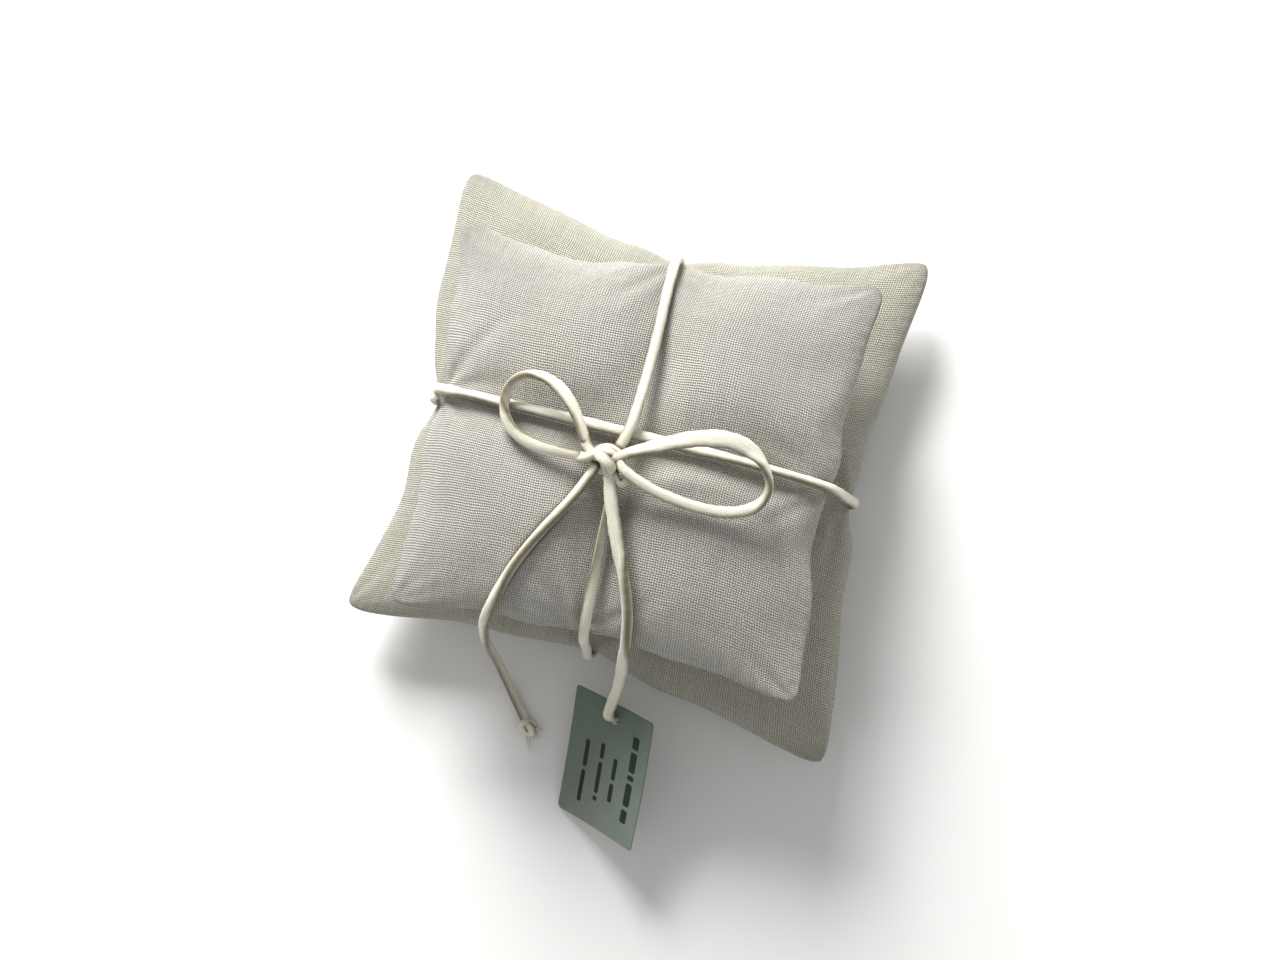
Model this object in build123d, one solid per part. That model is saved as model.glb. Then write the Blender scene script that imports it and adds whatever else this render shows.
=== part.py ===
from build123d import *

import os
from math import cos, exp, pi, radians, sin, sqrt, tan

# Ring bearer pillow: two square linen pillows, stacked and tied together like a parcel with one satin cord.
# The cord is tied in a bow on top. One of its tails ends in a knot, the other carries a card tag.
# +Z is up and the table is z = 0. X and Y run along the sides of the lower pillow, and its near side, by the
# tag, faces -Y. The origin is under the middle of the stack. All sizes are in millimetres.

# Cloth, thread and clearances
CLOTH = 0.6
FLANGE = 0.5  # height of the seam allowance where it is turned inside
THREAD = 0.4
THREAD_CLEARANCE = 0.02

# Cord and its grooves in the pillows
CORD_D = 3.0
GROOVE_WIDTH = 8.0
TOP_GROOVE = 3.0
CHANNEL = 4.2  # width of the trench under each band
TRENCH_HEIGHT, TRENCH_HALF_LENGTH, TRENCH_BELOW = CORD_D + 0.8, 75.0, -5.0
HUMP_HEIGHT, HUMP_FOOT, HUMP_TOP = 2 * CORD_D + 1.1, 24.0, 8.0  # where one band climbs over the other
CROSSING_BELOW, CROSSWISE_TO, LENGTHWISE_TO = (-0.4, -0.2, 0), (60, -0.2, 0), (-2.8, 57.6, 0)

# Card tag: the hole's centre, the card's normal and its direction across
TAG_W, TAG_H, TAG_THICK, TAG_CORNER = 32.0, 40.0, 0.6, 0.8
TAG_HOLE_D, TAG_HOLE_Y = 4.5, 15.5
TAG_HOLE = (15.42, -80.59, 20.25)
TAG_PLANE = Plane(origin=TAG_HOLE, x_dir=(0.857, -0.144, 0.495), z_dir=(-0.515, -0.305, 0.801))
PRINT_THICK = 0.05
# Rows of the print: place across the card, half the bar's width, and each bar's start and end along the card
PRINT_ROWS = [
    (10.5, 1.3, [(-13.5, -9.5), (-8.3, -1.2), (-0.2, 1.4), (2.4, 8.6), (9.6, 13.5)]),
    (3.6, 0.8, [(-10.0, -4.2), (-3.0, 3.8)]),
    (-2.2, 0.8, [(-12.0, -10.6), (-9.6, 0.4), (1.6, 6.4)]),
    (-8.4, 0.8, [(-14.8, -4.6), (-3.4, 5.2)]),
]

# Knots: centre and radii
BOW_KNOT, BOW_KNOT_RADII = (1.6, -10.8, 62.2), (4.4, 4.1, 3.4)
END_KNOT, END_KNOT_RADII = (-12.6, -91.2, 2.5), (2.9, 2.6, 2.4)
STOPPER_R = 2.9
YARN_COUNT, YARN_D = 7, 0.35
# Closing stitches: places along the far seam, as shares of half a side
STITCH_COUNT, STITCH_START, STITCH_SPACING = 12, -0.62, 0.032
STITCH_SLANT, STITCH_REACH = 0.008, 1.3
YARN_FIRST, YARN_STEP, YARN_CURL = radians(-86), radians(19), 0.3  # headings of the loose yarns
YARN_REACH, YARN_REACH_STEP, YARN_DROPS = 6.0, 1.3, (-0.9, -1.35)
YARN_ROOT = 1.6
STOPPER_OFFSET = -3.6
TAG_STOPPER = tuple(TAG_PLANE.offset(STOPPER_OFFSET).origin)

# Routes of the cord. The crosswise band starts and ends under the middle, the lengthwise one in the knot.
BAND_CROSSWISE = [
    (-0.5, -0.2, 1.6), (-24, -0.3, 1.6), (-44, -0.5, 1.6), (-56.6, -0.6, 2.3), (-63.6, -0.6, 5.6),
    (-66.6, -0.7, 11), (-66.4, -0.8, 17.5), (-61.6, -1.0, 27), (-58.2, -1.2, 36), (-56.9, -1.4, 43.5),
    (-54.6, -1.6, 48.6), (-48.2, -1.9, 52.2), (-38.5, -2.1, 55.0), (-25, -2.3, 57.0), (-8, -2.4, 57.9),
    (14, -2.4, 57.8), (30, -2.4, 56.9), (44, -2.5, 54.8), (54.2, -2.6, 52.5), (61.8, -2.7, 48.5),
    (64.4, -2.7, 42.5), (66.0, -2.3, 33), (68.0, -1.6, 22), (68.2, -1.1, 14), (66.2, -0.8, 7.2),
    (60.0, -0.6, 2.9), (46.5, -0.6, 1.6), (25, -0.3, 1.6), (0.1, -0.2, 1.6),
]
BAND_LENGTHWISE = [
    (4.2, -7.8, 61.9), (5.8, -3.2, 61.6), (6.2, 4.8, 60.8), (6.0, 15.5, 58.8), (5.4, 27, 56.9),
    (4.4, 38.2, 54.6), (3.6, 46.8, 51.4), (3.0, 52.0, 46.6), (2.1, 53.2, 40), (-0.4, 55.6, 29),
    (-2.5, 59.0, 20.5), (-3.0, 60.4, 13.5), (-2.8, 58.8, 7.6), (-2.4, 53.2, 3.4), (-2.0, 44, 1.7),
    (-1.4, 22, 1.8), (-0.8, 7.5, 5.2), (-0.1, -7.5, 5.2), (0.5, -22, 1.8), (1.1, -38, 1.6),
    (1.5, -47.5, 1.6), (1.9, -57.2, 3.6), (2.3, -63.2, 8.2), (2.6, -65.2, 14), (3.0, -64.9, 21),
    (4.4, -62.9, 31), (5.3, -61.8, 39.5), (5.7, -60.8, 46.0), (5.9, -55.6, 50.7), (5.8, -46.5, 53.8),
    (5.4, -35, 56.6), (5.1, -24, 58.3), (4.6, -16.6, 58.7), (3.4, -11.5, 60.0),
]
LOOP_LEFT = [
    (-4.5, -8.9, 63.2), (-8.6, -1.6, 64.2), (-15.8, 5.0, 64.6), (-24.2, 7.3, 63.0), (-30.8, 3.6, 60.6),
    (-31.4, -3.8, 59.4), (-27.4, -9.6, 59.8), (-20.2, -12.4, 61.0), (-11.4, -12.8, 62.2), (-4.6, -12.6, 62.6),
]
LOOP_RIGHT = [
    (7.4, -8.9, 64.3), (15.4, -4.9, 65.8), (25.6, -0.4, 67.0), (35.3, 1.4, 66.4), (43.2, -1.2, 64.4),
    (47.6, -7.6, 61.6), (45.8, -13.6, 60.2), (39.2, -17.4, 60.2), (30.2, -18.4, 61.2), (19.4, -17.4, 62.6),
    (11.8, -15.4, 63.6), (7.2, -13.2, 64.0),
]
TAIL_LEFT = [
    (-0.2, -13.0, 61.8), (-2.2, -18.6, 61.2), (-5.4, -25.2, 60.2), (-11.4, -34.6, 58.3), (-17.4, -45.8, 55.0),
    (-20.6, -55.2, 52.4), (-23.2, -62.6, 47.4), (-24.9, -66.4, 37), (-25.9, -69.2, 27), (-26.0, -71.6, 17),
    (-24.8, -75.2, 8.6), (-21.8, -80.2, 3.2), (-17.6, -85.6, 1.6), (-12.9, -90.6, 1.9),
]
TAIL_TAG = [
    (3.6, -13.4, 63.0), (4.9, -18.4, 62.5), (6.6, -23.0, 61.8), (9.3, -29.8, 60.6), (12.3, -37.0, 58.8),
    (15.6, -44.4, 56.6), (17.8, -52.2, 53.4), (18.2, -60.2, 48.0), (17.6, -66.0, 39.5), (16.4, -71.0, 30.8),
]
# The tag tail's last stretch in the card's own axes: over the card's edge, down its hole, into the stopper
TAIL_INTO_TAG = [
    tuple(TAG_PLANE.from_local_coords(Vector(*p)))
    for p in ((2.0, 6.5, 3.6), (0.4, 1.7, 3.0), (0, 0, 0.6), (0, 0, -4.2))
]

# A pillow's side is given by seven points: corner, quarter, shoulder, waist, shoulder, quarter, corner.
STATIONS = (-1.0, -0.55, -0.2, 0.0, 0.2, 0.55, 1.0)
LOWER = {
    "near": [(-75.7, -70.1), (-42, -66.8), (-13, -64.8), (2.2, -62.4), (14, -67.4), (41, -71.4), (77.6, -77.6)],
    "far": [(-75.4, 73.1), (-42, 66.2), (-15, 60.0), (-2.8, 57.6), (9, 61.3), (38, 66.2), (72.5, 75.9)],
    "left": [(-75.7, -70.1), (-68.4, -38), (-66.8, -13), (-63.8, 0.2), (-70.2, 13), (-75, 38), (-75.4, 73.1)],
    "right": [(77.6, -77.6), (73.4, -40), (71.2, -14), (65.5, -0.5), (67.9, 13), (69.6, 40), (72.5, 75.9)],
    "seam_z": 15.0,
    "rise": 19.0,
    "drop": 18.0,
    "rests_at": 0.0,
    "pressed_at": 31.0,
    "filling_centre": (0.8, -2.3, 15.0),
    "filling_radii": (57, 51, 17),
    "filling_heights": (8.4, 29.9),
}
UPPER = {
    "near": [(-53, -64.8), (-30, -61.4), (-8, -60.3), (3.2, -58.8), (14, -59.2), (38, -59.8), (67.9, -62.9)],
    "far": [(-62.4, 49.0), (-33, 46.2), (-10, 47.6), (2.8, 50.1), (15, 50.6), (37, 53.6), (62.1, 57.4)],
    "left": [(-53, -64.8), (-53.4, -35), (-55.4, -12), (-54.5, -1.0), (-56.8, 10), (-60.6, 32), (-62.4, 49.0)],
    "right": [(67.9, -62.9), (64.2, -34), (61.2, -14), (62.0, -2.8), (62.5, 9), (61.4, 31), (62.1, 57.4)],
    "seam_z": 43.0,
    "rise": 15.5,
    "drop": 13.5,
    "rests_at": 31.3,
    "filling_centre": (3.3, -4.4, 43.0),
    "filling_radii": (51, 48, 11.2),
    "filling_heights": (32.3, 60.0),
}
PLAIN_NET, GROOVED_NET = 17, 29  # points along each side of a skin's net
FULLNESS_POWER = 0.45
SIDE_STEPS = 16
# Heights of the lower pillow's contours, as shares of the way from its seam to its flat
RING_LEVELS = (0, 0.12, 0.3, 0.52, 0.74, 0.9, 1)
TALL = 200.0
INNER_SHARE = 0.98  # the cloth's inner skin and the seam allowance's edge, as shares of the plan
ALLOWANCE_SHARE = 0.92
STITCH_SHARE = 0.955
HALF_SIDE = 65.0  # a pillow's usual half width, which turns a share of the plan into a distance


def side_point(points, t):
    """The point at t, from -1 to 1, on a smooth curve through a side's seven points."""
    k = max(i for i in range(len(STATIONS) - 1) if t >= STATIONS[i])

    def slope(i, axis):
        low, high = max(i - 1, 0), min(i + 1, len(points) - 1)
        return (points[high][axis] - points[low][axis]) / (STATIONS[high] - STATIONS[low])

    width = STATIONS[k + 1] - STATIONS[k]
    s = (t - STATIONS[k]) / width
    value = []
    for axis in (0, 1):
        start, end = points[k][axis], points[k + 1][axis]
        value.append(
            (2 * s**3 - 3 * s**2 + 1) * start
            + (s**3 - 2 * s**2 + s) * width * slope(k, axis)
            + (3 * s**2 - 2 * s**3) * end
            + (s**3 - s**2) * width * slope(k + 1, axis)
        )
    return value


def plan_point(pillow, u, v):
    """Maps the square u, v = -1..1 onto the pillow's plan, blending its four sides."""
    near, far = side_point(pillow["near"], u), side_point(pillow["far"], u)
    left, right = side_point(pillow["left"], v), side_point(pillow["right"], v)
    p, q = (u + 1) / 2, (v + 1) / 2
    return [
        (1 - q) * near[i]
        + q * far[i]
        + (1 - p) * left[i]
        + p * right[i]
        - (1 - p) * (1 - q) * pillow["near"][0][i]
        - p * (1 - q) * pillow["near"][-1][i]
        - (1 - p) * q * pillow["far"][0][i]
        - p * q * pillow["far"][-1][i]
        for i in (0, 1)
    ]


def fullness(u, v):
    """1 at the middle of a pillow and 0 along its seam."""
    return (max(1 - u * u, 0) * max(1 - v * v, 0)) ** FULLNESS_POWER


def groove_depth(x, y):
    """How deep the tied cord presses into the top of the upper pillow, with one groove along each band."""
    lengthwise = exp(-(((x - 6.3 + 0.00115 * y * y) / GROOVE_WIDTH) ** 2))
    crosswise = exp(-(((y + 2.4) / GROOVE_WIDTH) ** 2))
    return TOP_GROOVE * (lengthwise + crosswise - lengthwise * crosswise)


def skin(pillow, upward, share=1.0, lift=0.0, inset=0.0):
    """One skin of the upper pillow's top or bottom, from its seam plane up or down."""
    side = 1 if upward else -1
    height = pillow["rise"] if upward else pillow["drop"]
    count = GROOVED_NET if upward else PLAIN_NET
    rows = []
    for j in range(count):
        row = []
        for i in range(count):
            a, b = (2 * n / (count - 1) - 1 for n in (i, j))
            u, v = (0.88 * sin(pi / 2 * t) + 0.12 * t for t in (a, b))
            x, y = plan_point(pillow, share * u, share * v)
            depth = groove_depth(x, y) if upward else 0
            z = pillow["seam_z"] + side * (lift + fullness(u, v) * (height - lift - inset - depth))
            row.append((x, y, z))
        rows.append(row)
    return Face.make_surface_from_array_of_points(rows)


def ring_share(a, b, c):
    """How far out from the middle, towards (a, b) on the square's edge, a contour of the fullness lies."""
    if abs(a * b) < 1e-6:
        return sqrt(1 - c)
    total, product = a * a + b * b, (a * b) ** 2
    return sqrt((total - sqrt(total * total - 4 * product * (1 - c))) / (2 * product))


def contour(pillow, level, share, z):
    """A wire round the pillow where its fullness has the given level, at one height."""
    corners = [(-1, -1), (1, -1), (1, 1), (-1, 1)]
    cut = level ** (1 / FULLNESS_POWER)
    edges = []
    for (u0, v0), (u1, v1) in zip(corners, corners[1:] + corners[:1]):
        plan = []
        for n in range(SIDE_STEPS + 1):
            a, b = u0 + (u1 - u0) * n / SIDE_STEPS, v0 + (v1 - v0) * n / SIDE_STEPS
            reach = share * ring_share(a, b, cut)
            plan.append(plan_point(pillow, reach * a, reach * b))
        edges.append(Spline(*[(x, y, z) for x, y in plan]))
    return Wire(edges)


def flat_dome(pillow, upward, share=1.0, lift=0.0, inset=0.0):
    """A half of the lower pillow, from its seam to the flat where it rests or is pressed."""
    side = 1 if upward else -1
    height = (pillow["rise"] if upward else pillow["drop"]) - inset
    flat = abs(pillow["pressed_at" if upward else "rests_at"] - pillow["seam_z"]) - inset
    wires = []
    for part in RING_LEVELS:
        rise = lift + part * (flat - lift)
        wires.append(contour(pillow, (rise - lift) / (height - lift), share, pillow["seam_z"] + side * rise))
    return Solid.make_loft(wires)


def closed_dome(pillow, upward, share=1.0, lift=0.0, inset=0.0):
    """A half of the upper pillow: a skin closed across its edge, cut flat where it lies on the lower one."""
    dome = skin(pillow, upward, share, lift, inset)
    base = Face(Wire(dome.edges()))
    solid = Solid(Shell([dome, base]))
    if upward:
        return solid
    return solid & Pos(0, 0, pillow["rests_at"] + inset + TALL / 2) * Box(2 * TALL, 2 * TALL, TALL)


# ---------------------------------------------------------------- pillows
def planar_ring(pillow, outer_share, inner_share, z, height):
    """A flat band that follows a pillow's outline, between two shares of its plan."""
    outer = extrude(outline_face(pillow, outer_share, z), amount=height)
    inner = extrude(outline_face(pillow, inner_share, z), amount=height)
    return outer - inner


def outline_face(pillow, share, z):
    """The flat area inside a pillow's outline, shrunk to a share of its plan."""
    count = 16
    corners = [(-1, -1), (1, -1), (1, 1), (-1, 1)]
    edges = []
    for (u0, v0), (u1, v1) in zip(corners, corners[1:] + corners[:1]):
        steps = [n / count for n in range(count + 1)]
        places = [(share * (u0 + (u1 - u0) * s), share * (v0 + (v1 - v0) * s)) for s in steps]
        plan = [plan_point(pillow, u, v) for u, v in places]
        edges.append(Spline(*[(x, y, z) for x, y in plan]))
    return Face(Wire(edges))


def band_channel(start, end, profile):
    """A straight trench under the lower pillow, cut to a profile of (distance along, height)."""
    along = Vector(*end) - Vector(*start)
    plane = Plane(origin=start, x_dir=along, z_dir=along.cross(Vector(0, 0, 1)))
    outline = make_face(plane * Polyline(*profile, close=True))
    return extrude(outline, amount=CHANNEL / 2, both=True)


def under_channels(extra):
    """Room for both bands under the lower pillow. The lengthwise band climbs over the crosswise one."""
    level, hump = TRENCH_HEIGHT + extra, HUMP_HEIGHT + extra
    foot, top = HUMP_FOOT + extra, HUMP_TOP + extra
    end, below = TRENCH_HALF_LENGTH, TRENCH_BELOW
    crosswise = [(-end, below), (end, below), (end, level), (-end, level)]
    lengthwise = [
        (-end, below), (end, below), (end, level), (foot, level),
        (top, hump), (-top, hump), (-foot, level), (-end, level),
    ]
    return [
        band_channel(CROSSING_BELOW, CROSSWISE_TO, crosswise),
        band_channel(CROSSING_BELOW, LENGTHWISE_TO, lengthwise),
    ]


def cover_panel(pillow, upward):
    """One linen panel with its seam allowance turned inside."""
    side = 1 if upward else -1
    half = flat_dome if pillow is LOWER else closed_dome
    outer = half(pillow, upward)
    inner = half(pillow, upward, INNER_SHARE, FLANGE, CLOTH)
    if pillow is LOWER and not upward:
        for channel in under_channels(0):
            outer -= channel
        for channel in under_channels(CLOTH):
            inner -= channel
    mouth = extrude(outline_face(pillow, ALLOWANCE_SHARE, pillow["seam_z"]), amount=side * FLANGE)
    return outer - inner - mouth


def filling(pillow):
    """The fibre filling as one plain solid inside the cover, flat where the pillow is pressed."""
    (x, y, z), (low, high) = pillow["filling_centre"], pillow["filling_heights"]
    body = Pos(x, y, z) * scale(Sphere(1), by=pillow["filling_radii"])
    return body & Pos(x, y, (low + high) / 2) * Box(200, 200, high - low)


def seam_threads(pillow):
    """The two threads of the lockstitch, one along each seam allowance inside the cover."""
    z, height, away = pillow["seam_z"], THREAD * 0.75, FLANGE + THREAD_CLEARANCE
    inner_share = STITCH_SHARE - THREAD / HALF_SIDE
    top = planar_ring(pillow, STITCH_SHARE, inner_share, z + away, height)
    bottom = planar_ring(pillow, STITCH_SHARE, inner_share, z - away - height, height)
    return Compound(children=[*top.solids(), *bottom.solids()])


def closing_stitches(pillow):
    """Slanted hand stitches across the far seam, where the filling went in."""
    stitches = []
    for k in range(STITCH_COUNT):
        t = STITCH_START + STITCH_SPACING * k
        x0, y0 = side_point(pillow["far"], t - STITCH_SLANT)
        x1, y1 = side_point(pillow["far"], t + STITCH_SLANT)
        start = Vector(x0, y0 + THREAD, pillow["seam_z"] - STITCH_REACH)
        end = Vector(x1, y1 + THREAD, pillow["seam_z"] + STITCH_REACH)
        along = end - start
        stitches.append(Solid.make_cylinder(THREAD / 2, along.length, Plane(origin=start, z_dir=along)))
    return Compound(children=stitches)


# ---------------------------------------------------------------- cord
def cord_path(name, points):
    """Straight runs joined by arcs, each arc as large as its two runs allow."""
    pts = [Vector(*p) for p in points]
    runs = [b - a for a, b in zip(pts, pts[1:])]
    radii = []
    for before, after in zip(runs, runs[1:]):
        half_turn = radians(before.get_angle(after)) / 2
        radii.append(0.45 * min(before.length, after.length) / tan(half_turn))
    path = FilletPolyline(*pts, radius=radii)
    print(f"{name}: length {path.length:.1f} mm, bend radii {[round(r, 1) for r in radii]}")
    return path


def cord_tube(name, points, ball_ends=False):
    """A round cord along a route. Ball ends let a loop turn about the line through its two ends."""
    path = cord_path(name, points)
    section = Plane(origin=path @ 0, z_dir=path % 0) * Circle(CORD_D / 2)
    tube = sweep(section, path=path)
    share = tube.volume / (pi * (CORD_D / 2) ** 2 * path.length)
    print(f"    volume over section times length: {share:.4f}")
    if ball_ends:
        tube += [Pos(*points[0]) * Sphere(CORD_D / 2), Pos(*points[-1]) * Sphere(CORD_D / 2)]
    return tube


def knot(centre, radii):
    """A tight knot as a plain ellipsoid."""
    return Pos(*centre) * scale(Sphere(1), by=radii)


def frayed_threads():
    """Loose yarns that fan out of the end knot and lie on the table."""
    yarns = []
    for k in range(YARN_COUNT):
        heading = YARN_FIRST + YARN_STEP * k
        reach = YARN_REACH + YARN_REACH_STEP * (k % 3)
        out = Vector(cos(heading), sin(heading), 0)
        curled = Vector(cos(heading + YARN_CURL), sin(heading + YARN_CURL), 0)
        start = Vector(*END_KNOT) + out * YARN_ROOT
        middle = start + out * reach / 2 + Vector(0, 0, YARN_DROPS[0])
        end = start + curled * reach + Vector(0, 0, YARN_DROPS[1])
        path = Polyline(start, middle, end)
        section = Plane(origin=start, z_dir=path % 0) * Circle(YARN_D / 2)
        yarns.append(sweep(section, path=path, transition=Transition.ROUND))
    return Compound(children=[y.solids()[0] for y in yarns])


# ---------------------------------------------------------------- tag
def tag_card():
    """A card with one punched hole, its lowest corner on the table."""
    middle = TAG_PLANE.offset(-TAG_THICK / 2) * Pos(0, -TAG_HOLE_Y, 0)
    card = extrude(middle * RectangleRounded(TAG_W, TAG_H, TAG_CORNER), amount=TAG_THICK)
    return card - extrude(TAG_PLANE * Circle(TAG_HOLE_D / 2), amount=TAG_THICK, both=True)


def tag_print():
    """Generic print: one bold row of bars and three light ones along the tag, in place of any wording."""
    face = TAG_PLANE.offset(TAG_THICK / 2) * Pos(0, -TAG_HOLE_Y, 0)
    bars = []
    for x, half_height, words in PRINT_ROWS:
        for start, end in words:
            bar = face * Pos(x, (start + end) / 2, 0) * Rectangle(2 * half_height, end - start)
            bars.append(extrude(bar, amount=PRINT_THICK).solids()[0])
    return Compound(children=bars)


def build():
    os.makedirs("parts", exist_ok=True)
    nodes = {}
    for name, pillow in (("lower", LOWER), ("upper", UPPER)):
        nodes[f"{name}_cover_bottom_panel"] = cover_panel(pillow, False)
        nodes[f"{name}_cover_top_panel"] = cover_panel(pillow, True)
        nodes[f"{name}_filling"] = filling(pillow)
        nodes[f"{name}_seam_threads"] = seam_threads(pillow)
        nodes[f"{name}_closing_stitches"] = closing_stitches(pillow)
    nodes["cord_band_crosswise"] = cord_tube("cord_band_crosswise", BAND_CROSSWISE)
    nodes["cord_band_lengthwise"] = cord_tube("cord_band_lengthwise", BAND_LENGTHWISE)
    nodes["bow_knot"] = knot(BOW_KNOT, BOW_KNOT_RADII)
    nodes["bow_loop_left"] = cord_tube("bow_loop_left", LOOP_LEFT, ball_ends=True)
    nodes["bow_loop_right"] = cord_tube("bow_loop_right", LOOP_RIGHT, ball_ends=True)
    nodes["cord_tail_left"] = cord_tube("cord_tail_left", TAIL_LEFT)
    nodes["tail_end_knot"] = knot(END_KNOT, END_KNOT_RADII)
    nodes["tail_frayed_threads"] = frayed_threads()
    nodes["cord_tail_tag"] = cord_tube("cord_tail_tag", TAIL_TAG + TAIL_INTO_TAG)
    nodes["tag_stopper_knot"] = knot(TAG_STOPPER, (STOPPER_R, STOPPER_R, STOPPER_R))
    nodes["tag_card"] = tag_card()
    nodes["tag_print"] = tag_print()
    for name, shape in nodes.items():
        shape.label = name
        export_step(shape, f"parts/{name}.step")


build()
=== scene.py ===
import math

import bpy
import numpy as np
from mathutils import Matrix, Vector


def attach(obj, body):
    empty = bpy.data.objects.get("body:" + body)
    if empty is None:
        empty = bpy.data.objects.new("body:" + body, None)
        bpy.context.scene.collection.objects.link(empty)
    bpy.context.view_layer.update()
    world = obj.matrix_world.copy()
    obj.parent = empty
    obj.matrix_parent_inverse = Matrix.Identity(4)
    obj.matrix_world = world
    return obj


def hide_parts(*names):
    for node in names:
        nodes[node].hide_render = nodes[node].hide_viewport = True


# Ring bearer pillow: the looks of two tied linen pillows, their satin cord and card tag, built round the CAD
# frame. Shapes are worked out in millimetres in the frame's axes and turned into metres when a mesh is made.
MM = 0.001

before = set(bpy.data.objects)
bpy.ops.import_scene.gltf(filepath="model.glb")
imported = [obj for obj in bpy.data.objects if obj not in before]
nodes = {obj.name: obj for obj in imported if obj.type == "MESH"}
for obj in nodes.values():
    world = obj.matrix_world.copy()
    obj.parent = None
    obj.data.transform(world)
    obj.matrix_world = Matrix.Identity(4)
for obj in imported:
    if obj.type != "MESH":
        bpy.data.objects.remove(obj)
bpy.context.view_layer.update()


# ---------------------------------------------------------------- camera and light
AZIMUTH, ELEVATION, ROLL = math.radians(60.44), math.radians(77.79), math.radians(-45.81)
DISTANCE, TARGET, LENS_MM = 0.4509, Vector((0.00451, -0.01031, 0.020)), 42.19
WORLD_STRENGTH = 0.40
LAMPS = [
    ("key_lamp", (-0.53, 0.95, 0.66), 0.55, 31.0, (1.0, 0.99, 0.97)),
    ("fill_lamp", (0.9, -0.5, 1.1), 1.2, 1.0, (0.96, 0.98, 1.0)),
]


def add_camera():
    """A camera high over the pillows, turned about its own axis as a hand-held one would be."""
    back = Vector((
        math.sin(AZIMUTH) * math.cos(ELEVATION),
        -math.cos(AZIMUTH) * math.cos(ELEVATION),
        math.sin(ELEVATION),
    ))
    level = Vector((0, 0, 1)).cross(back).normalized()
    upright = back.cross(level)
    right = level * math.cos(ROLL) + upright * math.sin(ROLL)
    up = -level * math.sin(ROLL) + upright * math.cos(ROLL)
    data = bpy.data.cameras.new("camera")
    data.lens = LENS_MM
    data.clip_start, data.clip_end = 0.01, 10
    camera = bpy.data.objects.new("camera", data)
    bpy.context.scene.collection.objects.link(camera)
    turn = Matrix((right, up, back)).transposed().to_4x4()
    camera.matrix_world = Matrix.Translation(TARGET + back * DISTANCE) @ turn
    bpy.context.scene.camera = camera


def add_studio():
    """A pale floor under plain soft light, strongest from the upper left of the picture."""
    bpy.ops.mesh.primitive_plane_add(size=6, location=(0, 0, -0.0002))
    floor = bpy.context.object
    floor.name = "floor"
    paint = bpy.data.materials.new("floor_paint")
    paint.use_nodes = True
    shader = paint.node_tree.nodes["Principled BSDF"]
    shader.inputs["Base Color"].default_value = (0.93, 0.93, 0.93, 1)
    shader.inputs["Roughness"].default_value = 0.9
    floor.data.materials.append(paint)
    world = bpy.data.worlds.new("studio")
    world.use_nodes = True
    world.node_tree.nodes["Background"].inputs["Color"].default_value = (1, 0.99, 0.97, 1)
    world.node_tree.nodes["Background"].inputs["Strength"].default_value = WORLD_STRENGTH
    bpy.context.scene.world = world
    bpy.context.scene.view_settings.view_transform = "Standard"
    for name, place, size, watts, colour in LAMPS:
        data = bpy.data.lights.new(name, "AREA")
        data.size, data.energy, data.color = size, watts, colour
        lamp = bpy.data.objects.new(name, data)
        bpy.context.scene.collection.objects.link(lamp)
        lamp.location = place
        lamp.rotation_euler = (Vector((0, 0, 0.03)) - Vector(place)).to_track_quat("-Z", "Y").to_euler()


# ---------------------------------------------------------------- materials
# Linen: width of a thread, how round it is, how far it passes over the next, and its unevenness
WEAVE_PITCH, THREAD_ROUND, THREAD_OVER = 0.66, 0.55, 0.45
WEAVE_WANDER, SLUB_HEIGHT, FUZZ_HEIGHT = 1.4, 0.3, 0.35
# Linen's colours: a yellowed tint for random patches, and the painted shade of its hollows
YELLOWED_LINEN, SHADED_LINEN = (0.55, 0.50, 0.38, 1), (0.17, 0.155, 0.10, 1)
# Satin cord: strands round it, their slant, and the colours of its painted shade in the braid's gaps, on its
# edges and in its crevices
BRAID_STRANDS, BRAID_SLANT = 13, 3.6
BRAID_GAP_SHADE, EDGE_SHADE, FAR_EDGE_SHADE = (0.40, 0.36, 0.23, 1), (0.17, 0.145, 0.08, 1), (0.30, 0.265, 0.16, 1)
CREVICE_SHADE = (0.17, 0.14, 0.07, 1)
THREAD_DARK, THREAD_LIGHT = (0.50, 0.48, 0.41, 1), (0.70, 0.68, 0.60, 1)
CARD_LOW, CARD_TOP = (0.20, 0.235, 0.205, 1), (0.105, 0.165, 0.12, 1)
CARD_GRAIN, CARD_CLOUD = (0.24, 0.29, 0.245, 1), (0.10, 0.145, 0.11, 1)
INK_DARK, INK_WORN = (0.008, 0.016, 0.011, 1), (0.03, 0.045, 0.034, 1)


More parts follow.
